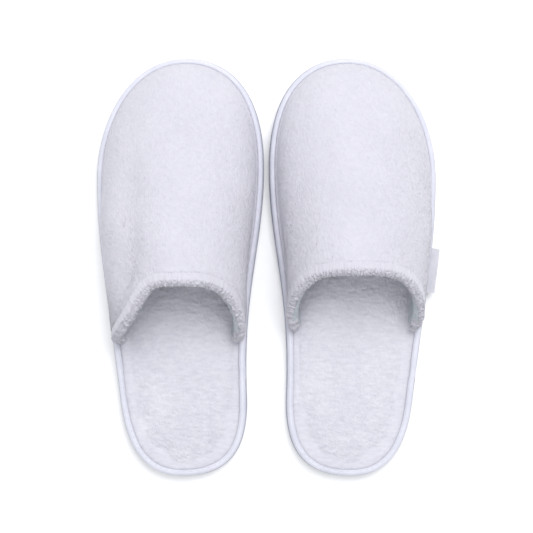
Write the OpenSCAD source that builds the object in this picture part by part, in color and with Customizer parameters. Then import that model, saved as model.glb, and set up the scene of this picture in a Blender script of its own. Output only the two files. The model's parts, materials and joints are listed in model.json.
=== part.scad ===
// A pair of closed-toe spa slippers: plush terry uppers and padded insoles, bound round the
// edge with tape and laminated on flat EVA foam soles.
// Frame: +X to the right, +Y towards the toes, +Z up, millimetres. The origin is on the floor,
// in the middle of the pair's footprint box.

/* [Sole] */
// Overall length of one slipper
sole_length = 280; // [240:1:310]
// Width of one slipper at the ball of the foot
sole_width = 112; // [96:1:124]
// Thickness of the EVA outsole
outsole_t = 4.5; // [3:0.5:8]
// Gap between the two slippers at their widest
pair_gap = 3.2; // [2:0.2:60]

/* [Insole] */
// Hot-melt film that holds the bound insole on the outsole
film_t = 0.7; // [0.5:0.1:1]
// Stiffener board
board_t = 1; // [0.6:0.1:2]
// Foam padding
foam_t = 3.3; // [2:0.1:8]
// Terry insole cover
cover_t = 1.6; // [1:0.1:3]

/* [Edge binding] */
// Width of the binding tape that shows on top
binding_w = 4.2; // [3:0.1:6]
// Thickness of the binding tape
binding_t = 0.8; // [0.5:0.1:1.2]
// How far the outsole stands out past the binding
welt = 0.6; // [0.2:0.1:2]
// Pitch of the binding stitches
stitch_pitch = 4.4; // [3:0.1:8]

/* [Upper] */
// Height of the upper above the insole at the opening
upper_h = 52; // [40:1:60]
// Thickness of the terry
terry_t = 2.2; // [1.5:0.1:3]
// Thickness of the foam interlining
interlining_t = 1.9; // [1:0.1:3]
// Thickness of the lining
lining_t = 0.8; // [0.5:0.1:1.5]
// Outward swell of the side walls at the wings
wing_swell = 5.5; // [0:0.5:6]
// Radius of the rolled hem round the opening
roll_r = 3.8; // [2.5:0.1:4.5]

/* [Openings] */
// How far the left upper sits ahead of its usual place
left_shift = -3.5; // [-6:0.5:6]
// How far the right upper sits ahead of its usual place
right_shift = 3.5; // [-6:0.5:6]
// Share by which the left opening's outer side leans in towards its crest
left_outer_narrowing = 0.38; // [0:0.01:0.4]
// Share by which the left opening's inner side leans in
left_inner_narrowing = 0.06; // [0:0.01:0.25]
// Share by which both sides of the right opening lean in
right_narrowing = 0.04; // [0:0.01:0.25]

/* [Sole flex] */
// Distance of the flex line from the back of the heel
flex_from_heel = 84; // [78:1:88]

/* [Label] */
// Length of the size label along the side seam
label_l = 30; // [15:1:40]
// How far the label stands out past the sole edge
label_out = 5; // [2:0.5:10]

/* [Hidden] */
SIDES = ["left", "right"];
SOLE_LAYERS = ["outsole", "glue_film", "insole_board", "foam_pad", "insole_cover", "edge_binding",
    "binding_stitches"];
UPPER_PARTS = ["upper_terry", "upper_interlining", "upper_lining", "topline_roll", "hem_stitches"];
LABEL_PARTS = ["size_label", "label_stitches"];

// Colours
terry_white = [0.93, 0.93, 0.96];
tape_white = [0.88, 0.89, 0.96];
eva_white = [0.86, 0.87, 0.9];
foam_white = [0.96, 0.95, 0.9];
board_grey = [0.72, 0.7, 0.66];
thread_white = [0.82, 0.84, 0.92];

// Clearance between neighbouring soft layers, and between the two halves of a flexing sole
clear = 0.1;
flex_gap = 0.3;

// Heights of the layers in the sole
film_z = outsole_t;
board_z = film_z + film_t;
foam_z = board_z + board_t;
cover_z = foam_z + foam_t;
lip_z = cover_z + cover_t;
top_z = lip_z + binding_t;

// Insets of the layers from the outsole's edge
wall_in = welt + binding_t + clear;
lip_in = welt + binding_w;
seam_gap = 0.6;
seam_in = lip_in + seam_gap;

// Thickness of the terry's seam margin where it is pressed flat under the binding
margin_t = 0.7;

// ---------- Outline of a right sole, built from six cubic curves ----------
length_k = sole_length / 280;
width_k = sole_width / 112;
heel_end = [0.5, -140];
toe_end = [-2.5, 140];
outer_heel = [42, -88];
outer_ball = [57.5, 60];
inner_heel = [-43, -85];
inner_ball = [-54.5, 67];
outer_run = unit([0.12, 1]);
inner_run = unit([0.04, 1]);
STEPS = 14;

function unit(v) = v / norm(v);

function curve(a, b, c, d) = [for (i = [0:STEPS - 1]) let (t = i / STEPS, u = 1 - t)
    u * u * u * a + 3 * u * u * t * b + 3 * u * t * t * c + t * t * t * d];

// Points run anticlockwise: up the outer side, round the toe and down the inner side.
outline = [for (p = concat(
        curve(heel_end, heel_end + [32, 0], outer_heel - 21 * outer_run, outer_heel),
        curve(outer_heel, outer_heel + 77 * outer_run, outer_ball - [0, 47], outer_ball),
        curve(outer_ball, outer_ball + [0, 36], toe_end + [40, 0], toe_end),
        curve(toe_end, toe_end - [25, 0], inner_ball + [0, 56], inner_ball),
        curve(inner_ball, inner_ball - [0, 53], inner_heel + 72 * inner_run, inner_heel),
        curve(inner_heel, inner_heel - 35 * inner_run, heel_end - [34, 0], heel_end)))
    [p.x * width_k, p.y * length_k]];
COUNT = len(outline);

// The outline moved inwards by d
function inset(d) = [for (i = [0:COUNT - 1])
    let (run = unit(outline[(i + 1) % COUNT] - outline[(i + COUNT - 1) % COUNT]))
    outline[i] + d * [-run.y, run.x]];

// The outer and inner sides of an outline as tables of x against y
function side_table(points, first, last) = [for (i = [first:last]) let (p = points[i % COUNT]) [p.y, p.x]];
function outer_side(points) = side_table(points, 0, COUNT / 2);
function inner_side(points) = side_table(points, COUNT / 2, COUNT);

// ---------- Places of the two slippers ----------
outer_reach = max([for (p = outline) p.x]);
inner_reach = -min([for (p = outline) p.x]);
// The tab's root stands a little off the binding, so that it can fold up or down
label_slack = 0.7;
label_y = -2;
label_ends = [for (end = [-1, 1]) label_y + end * label_l / 2];
label_root = [for (y = label_ends) [lookup(y, outer_side(outline)), y]];
label_turn = atan2(label_root[1].x - label_root[0].x, label_l);
label_reach = label_root[1].x + label_out * cos(label_turn);
middle_x = max(0, label_reach - outer_reach) / 2;

module place(side) {
    shift = inner_reach + pair_gap / 2;
    if (side == "right")
        translate([shift - middle_x, 0, 0]) children();
    else
        translate([-shift - middle_x, 0, 0]) mirror([1, 0, 0]) children();
}

// ---------- Sole layers ----------
flex_y = -sole_length / 2 + flex_from_heel;

// Keeps the part of a layer ahead of the flex line, or behind it
module half(part) {
    big = 2 * sole_length;
    intersection() {
        children();
        translate([-big / 2, part == "front" ? flex_y + flex_gap / 2 : flex_y - flex_gap / 2 - big, -1])
            cube([big, big, 100]);
    }
}

module slab(d, z, t) {
    translate([0, 0, z]) linear_extrude(t) polygon(inset(d));
}

groove_pitch = 9;
groove_w = 1.8;
groove_depth = 0.8;
groove_edge = 8;

// Flat EVA sheet with anti-slip grooves across its underside
module outsole(part) {
    grooves = floor((sole_length - 4 * groove_edge) / groove_pitch / 2);
    color(eva_white) half(part) difference() {
        slab(0, 0, outsole_t);
        intersection() {
            slab(groove_edge, -1, 1 + groove_depth);
            for (i = [-grooves:grooves])
                translate([-sole_width, i * groove_pitch - groove_w / 2, -2])
                    cube([2 * sole_width, groove_w, 2 + groove_depth]);
        }
    }
}

module glue_film(part) {
    color(foam_white) half(part) slab(seam_in, film_z, film_t);
}

module insole_board(part) {
    color(board_grey) half(part) slab(wall_in, board_z, board_t);
}

module foam_pad(part) {
    color(foam_white) half(part) slab(wall_in, foam_z, foam_t);
}

rebate_room = 0.8;

// Terry cover, with a rebate in front where the upper's seam margin lies on it
module insole_cover(side, part) {
    color(terry_white) half(part) difference() {
        slab(wall_in, cover_z, cover_t);
        intersection() {
            difference() {
                slab(-1, lip_z - margin_t - clear, 5);
                slab(seam_in + terry_t + rebate_room, 0, 100);
            }
            translate([-sole_width, foot_y(side) - rebate_room, 0])
                cube([2 * sole_width, sole_length, 100]);
        }
    }
}

// Tape folded round the edge: a wall, a lip on top and a lip underneath
module edge_binding(part) {
    color(tape_white) half(part) difference() {
        slab(welt, film_z, top_z - film_z);
        slab(wall_in - clear, board_z, lip_z - board_z);
        slab(lip_in, film_z - 1, 100);
    }
}

thread_r = 0.3;
stitch_l = 2.8;
stitch_rise = thread_r + 0.02;
stitch_row_in = 1.1;
label_row_out = 2.2;

// One stitch lying flat, with its middle at a point
module stitch(at, turn) {
    translate(at) rotate([0, 0, turn]) rotate([90, 0, 0])
        cylinder(r = thread_r, h = stitch_l, center = true, $fn = 16);
}

// Running length along a path of points
function lengths(path, i = 0, sum = 0, out = []) = i == len(path) ? out
    : let (next = i == 0 ? 0 : sum + norm(path[i] - path[i - 1]))
    lengths(path, i + 1, next, concat(out, [next]));
function x_along(path) = let (l = lengths(path)) [for (i = [0:len(path) - 1]) [l[i], path[i].x]];
function y_along(path) = let (l = lengths(path)) [for (i = [0:len(path) - 1]) [l[i], path[i].y]];

// Row of stitches along the middle of the binding's top lip
module binding_stitches(part) {
    seam = inset(lip_in - stitch_row_in);
    path = concat(seam, [seam[0]]);
    xs = x_along(path);
    ys = y_along(path);
    total = xs[len(xs) - 1][0];
    stitches = floor(total / stitch_pitch);
    color(thread_white) for (i = [0:stitches - 1]) {
        l = (i + 0.5) * total / stitches;
        at = [lookup(l, xs), lookup(l, ys)];
        ahead = [lookup(l + 1, xs), lookup(l + 1, ys)];
        clear_of_flex = abs(at.y - flex_y) > stitch_l / 2 + flex_gap;
        if (clear_of_flex && (part == "front") == (at.y > flex_y))
            stitch([at.x, at.y, top_z + stitch_rise], atan2(ahead.y - at.y, ahead.x - at.x) - 90);
    }
}

// ---------- Upper ----------
crown = 2.2;
rise_power = 0.45;

// Where the side walls start to swell on the outer and inner side, and the run over which they do
swell_start = [72, 45];
swell_run = [50, 80];
COLUMNS = 34;
ROWS = 8;

wing_ahead = 12;
arch_depth = 40;
seam_ahead = 3;
column_ease = 1.7;

// Middle of the rolled hem: its ends at the wings, and its foremost point
function wing_y(side) = flex_y + wing_ahead + (side == "left" ? left_shift : right_shift);
function crest_y(side) = wing_y(side) + arch_depth;

// Share by which the opening leans in at an angle of its arch: quickly from the wing, then level
function narrowing(side, angle) = let (
        most = side == "right" ? right_narrowing : angle < 90 ? left_outer_narrowing : left_inner_narrowing)
    most * (1 - pow(1 - sin(angle), 2));

// Where the upper's seam begins, just ahead of the hem's ends
function foot_y(side) = wing_y(side) + seam_ahead;

// A skin of the upper is set by how far it lies inside the terry's outer face.
// [outer side table, inner side table, height at the crest, y of the toe seam, y of the crest]
function skin(side, d) = let (points = inset(seam_in + d))
    [outer_side(points), inner_side(points), upper_h - d, max([for (p = points) p.y]), crest_y(side)];

// Height of a skin over the insole at a point in plan
function skin_z(s, x, y) = let (
        a = lookup(y, s[0]), b = lookup(y, s[1]),
        across = min(1, abs(x - (a + b) / 2) / max(0.01, (a - b) / 2)),
        along = max(0, s[3] - y) / (s[3] - s[4]))
    s[2] * pow(along, rise_power) * sqrt(max(0, 1 - pow(across, crown)));

// Outward swell at a share of the height, on the outer side where across is positive
function swell_at(share, across, y) = let (
        k = across > 0 ? 0 : 1, t = max(0, min(1, (swell_start[k] - y) / swell_run[k])))
    4 * share * (1 - share) * wing_swell * t * t * (3 - 2 * t);

// The skin's point over a place in plan, with the side walls swelling outwards
function skin_point(s, x, y) = let (
        a = lookup(y, s[0]), b = lookup(y, s[1]), z = skin_z(s, x, y),
        out = swell_at(min(1, z / s[2]), 2 * x - a - b, y))
    [x + out * (2 * x - a - b) / max(1, a - b), y, lip_z + z];

// Seam line of a skin in plan, from the outer wing round the toe to the inner wing
function seam_path(side, s) = let (start = foot_y(side)) concat(
    [[lookup(start, s[0]), start]],
    [for (p = s[0]) if (p[0] > start + 0.5) [p[1], p[0]]],
    [for (p = s[1]) if (p[0] > start + 0.5 && p[0] < s[3] - 0.01) [p[1], p[0]]],
    [[lookup(start, s[1]), start]]);

// Opening of the upper in plan: an arch between the wings, by its angle from 0 to 180
function topline_plan(side, s, angle) = let (
        y = wing_y(side) + (crest_y(side) - wing_y(side)) * sin(angle),
        a = lookup(y, s[0]), b = lookup(y, s[1]),
        across = sign(cos(angle)) * sqrt(abs(cos(angle))) * (1 - narrowing(side, angle)))
    [(a + b) / 2 + across * (a - b) / 2, y];

// The place in plan that a point on the skin came from, before the swell
near_seam = 0.99;
function plan_of(s, p) = let (
        a = lookup(p.y, s[0]), b = lookup(p.y, s[1]), middle = (a + b) / 2, half_width = (a - b) / 2,
        out = swell_at((p.z - lip_z) / s[2], p.x - middle, p.y),
        across = (p.x - middle) / (half_width + out))
    [middle + sign(across) * min(near_seam, abs(across)) * half_width, p.y];

// Direction square to a skin, pointing outwards
function skin_normal(s, x, y) = let (
        step = 0.05,
        across = skin_point(s, x + step, y) - skin_point(s, x - step, y),
        ahead = skin_point(s, x, y + step) - skin_point(s, x, y - step))
    unit(cross(across, ahead));

interlining_in = terry_t + clear;
lining_in = interlining_in + interlining_t + clear;
upper_in = lining_in + lining_t;

// Middle of the hem at an angle of the arch
function hem_middle(side, angle) = let (
        s = skin(side, upper_in / 2), p = topline_plan(side, s, angle))
    skin_point(s, p.x, p.y);

// Direction square to the upper beside the hem
function hem_normal(side, angle) = let (
        s = skin(side, upper_in / 2), p = topline_plan(side, s, angle))
    skin_normal(s, p.x, p.y);

// Point on the terry's outer face where the upper stops, so that the hem fits beyond it
function upper_end(side, angle) = let (
        normal = hem_normal(side, angle),
        run = hem_middle(side, angle + 0.5) - hem_middle(side, angle - 0.5))
    hem_middle(side, angle) + (roll_r + clear) * unit(cross(run, normal)) + upper_in / 2 * normal;

first_angle = 4;
function topline_angle(i) = first_angle + (180 - 2 * first_angle) * i / COLUMNS;

// Columns of points on the terry's outer face, each from the seam up to the hem
function outer_grid(side) = let (
        s = skin(side, 0), path = seam_path(side, s), xs = x_along(path), ys = y_along(path),
        total = xs[len(xs) - 1][0])
    [for (i = [0:COLUMNS]) let (
            foot = [lookup(total * i / COLUMNS, xs), lookup(total * i / COLUMNS, ys)],
            end = upper_end(side, topline_angle(i)),
            top = plan_of(s, end),
            lift = end - skin_point(s, top.x, top.y))
        [for (j = [0:ROWS]) let (t = j / ROWS, p = foot + (top - foot) * pow(t, column_ease))
            skin_point(s, p.x, p.y) + t * lift]];

// The same columns moved inwards by d
function inner_grid(side, grid, d) = [for (i = [0:COLUMNS]) [for (j = [0:ROWS]) let (
            along = grid[min(COLUMNS, i + 1)][j] - grid[max(0, i - 1)][j],
            up = grid[i][min(ROWS, j + 1)] - grid[i][max(0, j - 1)],
            square = cross(up, along),
            inwards = j == 0 ? unit([square.x, square.y, 0])
                : j == ROWS ? -hem_normal(side, topline_angle(i)) : unit(square))
        grid[i][j] + d * inwards]];

// Zigzag order across a loop of m points: 0, m - 1, 1, m - 2 and so on
function zigzag(k, m) = k % 2 == 0 ? k / 2 : m - (k + 1) / 2;

// A closed solid from loops of points: each loop is joined to the next and the two ends are capped.
// From the point numbered turn on, the quads are split the other way, to match the way out.
module loft(loops, turn = 1e6) {
    n = len(loops);
    m = len(loops[0]);
    sides = [for (i = [0:n - 2], j = [0:m - 1]) let (
            a = i * m + j, b = i * m + (j + 1) % m, c = a + m, d = b + m)
        each j < turn ? [[a, b, d], [a, d, c]] : [[a, b, c], [b, d, c]]];
    caps = [for (end = [0, 1], k = [0:m - 3]) let (
            corners = [for (step = [0:2]) end * (n - 1) * m + zigzag(k + step, m)])
        k % 2 == end ? [corners[0], corners[1], corners[2]] : [corners[2], corners[1], corners[0]]];
    polyhedron([for (loop = loops, p = loop) p], concat(sides, caps), convexity = 10);
}

// One layer of the upper between two depths, with a seam margin under the binding where asked
module upper_layer(side, outer, inner, margin = false) {
    grid = outer_grid(side);
    outside = inner_grid(side, grid, outer);
    inside = inner_grid(side, grid, inner);
    edge = inner_grid(side, grid, wall_in + clear - seam_in);
    base = lip_z - margin_t;
    lead = margin ? 2 : 0;
    loft([for (i = [0:COLUMNS]) let (
            skin_loop = concat(outside[i], [for (j = [ROWS:-1:0]) inside[i][j]]),
            e = edge[i][0], f = inside[i][0])
        margin ? concat([[e.x, e.y, base], [e.x, e.y, lip_z - clear]], skin_loop, [[f.x, f.y, base]])
            : skin_loop], turn = lead + ROWS + 1);
}

module upper_terry(side) {
    color(terry_white) upper_layer(side, 0, terry_t, margin = true);
}

module upper_interlining(side) {
    color(foam_white) upper_layer(side, interlining_in, interlining_in + interlining_t);
}

module upper_lining(side) {
    color(tape_white) upper_layer(side, lining_in, upper_in);
}

// Middle line of the rolled hem, which ends low and thinner at the wings
wing_roll_r = 2.4;
roll_growth = 0.2;
roll_turn = 5;
RING = 10;

function roll_path(side) = let (
        s = skin(side, upper_in / 2),
        rise = [0, -wing_roll_r / 2, lip_z + wing_roll_r + clear],
        ends = [for (angle = [0, 180]) let (p = topline_plan(side, s, angle)) [p.x, p.y, 0] + rise])
    concat([ends[0]], [for (angle = [roll_turn:roll_turn:180 - roll_turn]) hem_middle(side, angle)],
        [ends[1]]);

// Rolled hem: a soft tube along the upper's edge
module topline_roll(side) {
    path = roll_path(side);
    last = len(path) - 1;
    color(terry_white) loft([for (i = [0:last]) let (
            run = unit(path[min(last, i + 1)] - path[max(0, i - 1)]),
            across = unit(cross(run, [0, 1, 0])),
            r = min(roll_r, wing_roll_r + min(i, last - i) * roll_growth))
        [for (k = [0:RING - 1]) path[i] + r * (cos(360 * k / RING) * across
            + sin(360 * k / RING) * cross(across, run))]]);
}

// Straight thread between two points
module thread(from, to) {
    run = to - from;
    translate(from) rotate([0, acos(run.z / norm(run)), atan2(run.y, run.x)])
        cylinder(r = thread_r, h = norm(run), $fn = 16);
}

// Stitches that hold the hem down on the lining, a little inside the opening
module hem_stitches(side) {
    grid = inner_grid(side, outer_grid(side), upper_in + thread_r + 2 * clear);
    color(thread_white) for (i = [1:COLUMNS - 2]) {
        from = grid[i][ROWS - 1];
        to = grid[i + 1][ROWS - 1];
        thread(from + (to - from) / 6, to - (to - from) / 6);
    }
}

// ---------- Size label ----------
// The tab's root lies along the side seam, with its free edge to the right
module at_label() {
    root = (label_root[0] + label_root[1]) / 2;
    translate([root.x, root.y, label_z]) rotate([0, 0, -label_turn])
        translate([label_slack - welt, 0, 0]) children();
}

ply_t = 0.25;
label_t = 3 * ply_t;
label_z = board_z + (lip_z - board_z) / 2;

// Folded tab that stands out of the side seam
module size_label() {
    reach = label_out + welt - label_slack;
    color(tape_white) at_label() rotate([90, 0, 0]) linear_extrude(label_l, center = true) difference() {
        union() {
            translate([0, -label_t / 2]) square([reach - label_t / 2, label_t]);
            translate([reach - label_t / 2, 0]) circle(d = label_t, $fn = 32);
        }
        translate([-1, -ply_t / 2]) square([1 + reach - label_t / 2, ply_t]);
        translate([reach - label_t / 2, 0]) circle(d = ply_t, $fn = 32);
    }
}

// Row of stitches along the tab's root
module label_stitches() {
    stitches = floor(label_l / stitch_pitch);
    color(thread_white) at_label() for (i = [0:stitches - 1])
        stitch([label_row_out, (i + 0.5 - stitches / 2) * stitch_pitch, label_t / 2 + stitch_rise], 0);
}

// ---------- Pieces of the pair ----------
for (side = SIDES, part = ["front", "heel"]) {
    place(side) outsole(part);
    place(side) glue_film(part);
    place(side) insole_board(part);
    place(side) foam_pad(part);
    place(side) insole_cover(side, part);
    place(side) edge_binding(part);
    place(side) binding_stitches(part);
}
for (side = SIDES) {
    place(side) upper_terry(side);
    place(side) upper_interlining(side);
    place(side) upper_lining(side);
    place(side) topline_roll(side);
    place(side) hem_stitches(side);
}
place("right") size_label();  // right_size_label
place("right") label_stitches();  // right_label_stitches
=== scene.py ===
"""A pair of closed-toe terry spa slippers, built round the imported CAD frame.

Each slipper is worked out in the frame of a right sole, in millimetres: +X to the outer side, +Y to
the toes, +Z up. Points go to the row frame, in metres, when a mesh is made, and the left slipper is
mirrored there.
"""
import itertools
import json
import math

import bmesh
import bpy
import numpy as np
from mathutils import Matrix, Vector
from mathutils.bvhtree import BVHTree


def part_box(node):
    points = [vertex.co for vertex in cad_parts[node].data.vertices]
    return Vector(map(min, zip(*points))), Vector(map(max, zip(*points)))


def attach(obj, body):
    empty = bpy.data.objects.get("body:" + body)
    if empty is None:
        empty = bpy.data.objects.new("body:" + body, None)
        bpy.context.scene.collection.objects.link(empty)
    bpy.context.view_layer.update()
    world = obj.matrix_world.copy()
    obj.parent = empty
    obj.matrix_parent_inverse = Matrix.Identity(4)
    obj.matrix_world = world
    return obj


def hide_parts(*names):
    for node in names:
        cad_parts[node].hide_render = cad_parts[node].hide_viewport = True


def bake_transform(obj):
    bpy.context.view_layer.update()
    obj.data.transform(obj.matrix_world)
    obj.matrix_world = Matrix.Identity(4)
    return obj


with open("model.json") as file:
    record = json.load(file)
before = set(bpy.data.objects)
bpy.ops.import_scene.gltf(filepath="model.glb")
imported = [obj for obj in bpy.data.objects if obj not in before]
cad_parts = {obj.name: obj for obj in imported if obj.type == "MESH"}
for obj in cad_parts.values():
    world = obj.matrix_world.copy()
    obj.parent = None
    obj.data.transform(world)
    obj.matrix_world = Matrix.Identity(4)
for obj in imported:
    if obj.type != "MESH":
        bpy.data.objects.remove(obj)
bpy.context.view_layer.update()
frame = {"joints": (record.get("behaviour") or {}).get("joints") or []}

# ---------- Sizes, in millimetres ----------
MM = 0.001
SIDES = ("left", "right")
MIRROR = {"left": -1, "right": 1}


def lowest(node):
    """Lowest corner of a CAD node, in millimetres."""
    return np.array(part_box(node)[0]) / MM


def highest(node):
    """Highest corner of a CAD node, in millimetres."""
    return np.array(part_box(node)[1]) / MM


OUTSOLE_TOP = highest("right_outsole_front")[2]
FILM_TOP = highest("right_glue_film_front")[2]
BOARD_TOP = highest("right_insole_board_front")[2]
FOAM_TOP = highest("right_foam_pad_front")[2]
COVER_TOP = highest("right_insole_cover_front")[2]
TAPE_TOP = highest("right_edge_binding_front")[2]
SOLE_LENGTH = highest("right_outsole_front")[1] - lowest("right_outsole_heel")[1]
SOLE_WIDTH = highest("right_outsole_front")[0] - lowest("right_outsole_front")[0]

WELT = 0.6
TAPE_T = 0.8
TAPE_LIP = 4.2
SEAM_GAP = 0.6
CLEAR = 0.1
WALL_IN = WELT + TAPE_T + CLEAR
LIP_IN = WELT + TAPE_LIP
SEAM_IN = LIP_IN + SEAM_GAP

UPPER_H = 52.0
TERRY_T = 2.2
INTERLINING_T = 1.9
LINING_T = 0.8
INTERLINING_IN = TERRY_T + CLEAR
LINING_IN = INTERLINING_IN + INTERLINING_T + CLEAR
UPPER_T = LINING_IN + LINING_T
WING_SWELL = 5.5
SWELL_START = (72.0, 45.0)
SWELL_RUN = (50.0, 80.0)
CROWN = 2.2
RISE = 0.45
ROLL_R = 3.8
WING_ROLL_R = 2.4
MARGIN_T = 0.7

FLEX_Y = -56.0
FLEX_RUN = 35.0
WING_AHEAD = 12.0
ARCH_DEPTH = 40.0
SEAM_AHEAD = 3.0
# How far each upper sits ahead of its usual place
UPPER_SHIFT = {"left": -3.5, "right": 3.5}
WING_Y = {side: FLEX_Y + WING_AHEAD + UPPER_SHIFT[side] for side in SIDES}
# Share by which the opening leans in: on its outer side, on its inner side
NARROWING = {"left": (0.38, 0.06), "right": (0.04, 0.04)}


# ---------- Numbers ----------
def unit(v):
    return v / np.maximum(np.linalg.norm(v, axis=-1, keepdims=True), 1e-12)


def smoothstep(x):
    x = np.clip(x, 0, 1)
    return x * x * (3 - 2 * x)


CELL_STEPS = (73856093, 19349663, 83492791)
SEED_STEP = 40503
MIXERS = ((13, 1274126177), (15, 668265263))
BITS = 0x7FFFFFFF


def lattice(cell, seed):
    """A number from -1 to 1 for each whole-numbered cell."""
    h = cell[..., 0] * CELL_STEPS[0] ^ cell[..., 1] * CELL_STEPS[1] ^ cell[..., 2] * CELL_STEPS[2]
    h = (h ^ seed * SEED_STEP) & BITS
    for shift, mixer in MIXERS:
        h = (h ^ (h >> shift)) * mixer & BITS
    return h / (BITS // 2) - 1


def noise(points, size, seed):
    """Smooth noise from -1 to 1, with lumps about size across."""
    q = points / size + 500
    cell = np.floor(q).astype(np.int64)
    w = smoothstep(q - cell)
    total = 0
    for corner in itertools.product((0, 1), repeat=3):
        share = np.prod(np.where(np.array(corner) == 1, w, 1 - w), axis=-1)
        total = total + share * lattice(cell + np.array(corner), seed)
    return total


def along(path):
    """Running length at each point of a path."""
    return np.concatenate([[0], np.cumsum(np.linalg.norm(np.diff(path, axis=0), axis=1))])


def place_on(path, lengths, at):
    """The place on a path at a running length, or the places at several."""
    return np.stack([np.interp(at, lengths, column) for column in path.T], axis=-1)


def resample(path, n, closed=False):
    """The path again as n evenly spaced points."""
    ring = np.vstack([path, path[:1]]) if closed else path
    at = np.linspace(0, along(ring)[-1], n + 1)[:n] if closed else np.linspace(0, along(ring)[-1], n)
    return place_on(ring, along(ring), at)


# ---------- Outline of a right sole ----------
def cubic(a, b, c, d, steps=200):
    t = (np.arange(steps) / steps)[:, None]
    u = 1 - t
    return u**3 * a + 3 * u * u * t * b + 3 * u * t * t * c + t**3 * d


def sole_outline():
    """Points run anticlockwise: up the outer side, round the toe and down the inner side."""
    heel, toe = np.array([0.5, -140]), np.array([-2.5, 140])
    outer_heel, outer_ball = np.array([42, -88]), np.array([57.5, 60])
    inner_heel, inner_ball = np.array([-43, -85]), np.array([-54.5, 67])
    outer_run, inner_run = unit(np.array([0.12, 1])), unit(np.array([0.04, 1]))
    points = np.vstack([
        cubic(heel, heel + [32, 0], outer_heel - 21 * outer_run, outer_heel),
        cubic(outer_heel, outer_heel + 77 * outer_run, outer_ball - [0, 47], outer_ball),
        cubic(outer_ball, outer_ball + [0, 36], toe + [40, 0], toe),
        cubic(toe, toe - [25, 0], inner_ball + [0, 56], inner_ball),
        cubic(inner_ball, inner_ball - [0, 53], inner_heel + 72 * inner_run, inner_heel),
        cubic(inner_heel, inner_heel - 35 * inner_run, heel - [34, 0], heel),
    ])
    return points * [SOLE_WIDTH / np.ptp(points[:, 0]), SOLE_LENGTH / np.ptp(points[:, 1])]


OUTLINE = sole_outline()
PLACE_X = {
    "right": lowest("right_outsole_front")[0] - OUTLINE[:, 0].min(),
    "left": highest("left_outsole_front")[0] + OUTLINE[:, 0].min(),
}
PERIMETER = along(np.vstack([OUTLINE, OUTLINE[:1]]))[-1]


def inset(points, d):
    """A closed outline moved inwards by d, which may be one number or one for each point."""
    run = unit(np.roll(points, -1, 0) - np.roll(points, 1, 0))
    inwards = np.stack([-run[:, 1], run[:, 0]], axis=1)
    return points + np.reshape(d, (-1, 1)) * inwards


def sides_of(points):
    """Tables of x against y for the outer and inner side of an outline."""
    toe = int(points[:, 1].argmax())
    outer, inner = points[: toe + 1], points[toe:][::-1]
    return [(np.maximum.accumulate(side[:, 1]), side[:, 0]) for side in (outer, inner)]


# ---------- Meshes ----------
def in_scene(name, data):
    """A new object, linked to the scene."""
    ob = bpy.data.objects.new(name, data)
    bpy.context.scene.collection.objects.link(ob)
    return ob


def face_outwards(mesh):
    """Turns every face of a closed mesh outwards."""
    bm = bmesh.new()
    bm.from_mesh(mesh)
    bmesh.ops.recalc_face_normals(bm, faces=bm.faces[:])
    bm.to_mesh(mesh)
    bm.free()


def piece(name, side, points, faces, look):
    """A mesh object from points in the sole's frame, in millimetres."""
    flat = np.asarray(points, float).reshape(-1, 3) * MM
    flat[:, 0] = MIRROR[side] * flat[:, 0] + PLACE_X[side] * MM
    if MIRROR[side] < 0:
        faces = [face[::-1] for face in faces]
    mesh = bpy.data.meshes.new(name)
    mesh.from_pydata(flat, [], faces)
    mesh.validate()
    face_outwards(mesh)
    mesh.shade_smooth()
    mesh.materials.append(look)
    return in_scene(name, mesh)


def grid_faces(rows, columns, start=0, close_rows=False, close_columns=False):
    """Quads of a grid of points numbered row by row."""
    row_count = rows if close_rows else rows - 1
    column_count = columns if close_columns else columns - 1
    i, j = np.meshgrid(np.arange(row_count), np.arange(column_count), indexing="ij")
    a, b = i * columns + j, i * columns + (j + 1) % columns
    c, d = (i + 1) % rows * columns + (j + 1) % columns, (i + 1) % rows * columns + j
    return (np.stack([a, b, c, d], axis=-1).reshape(-1, 4) + start).tolist()


def grid_normals(grid):
    """Unit normals of a grid of points, on the side that grid_faces faces."""
    across, up = np.gradient(grid, axis=1), np.gradient(grid, axis=0)
    return unit(np.cross(across, up)) * -1


def shell(outer, inner):
    """A closed shell from a fine outer grid and a coarse inner one, joined round their rims.
    The fine grid has a whole number of cells along each side of a coarse cell."""
    rows, columns = outer.shape[:2]
    low_rows, low_columns = inner.shape[:2]
    per_row, per_column = (rows - 1) // (low_rows - 1), (columns - 1) // (low_columns - 1)
    first = rows * columns
    faces = [f[::-1] for f in grid_faces(rows, columns)] + grid_faces(low_rows, low_columns, first)
    for i in range(low_rows - 1):
        for j, k, turn in ((0, 0, 1), (columns - 1, low_columns - 1, -1)):
            fine = [(i * per_row + s) * columns + j for s in range(per_row + 1)]
            rim = [first + (i + 1) * low_columns + k, first + i * low_columns + k]
            faces.append((fine + rim)[::-turn])
    for j in range(low_columns - 1):
        for i, k, turn in ((0, 0, -1), (rows - 1, low_rows - 1, 1)):
            fine = [i * columns + j * per_column + s for s in range(per_column + 1)]
            rim = [first + k * low_columns + j + 1, first + k * low_columns + j]
            faces.append((fine + rim)[::-turn])
    return np.vstack([outer.reshape(-1, 3), inner.reshape(-1, 3)]), faces


def sleeve_faces(rings, around, start=0):
    """Faces of rings of points numbered one after another, with both ends closed."""
    last = start + (rings - 1) * around
    ends = [list(range(start, start + around))[::-1], list(range(last, last + around))]
    return grid_faces(rings, around, start, close_columns=True) + ends


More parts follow.
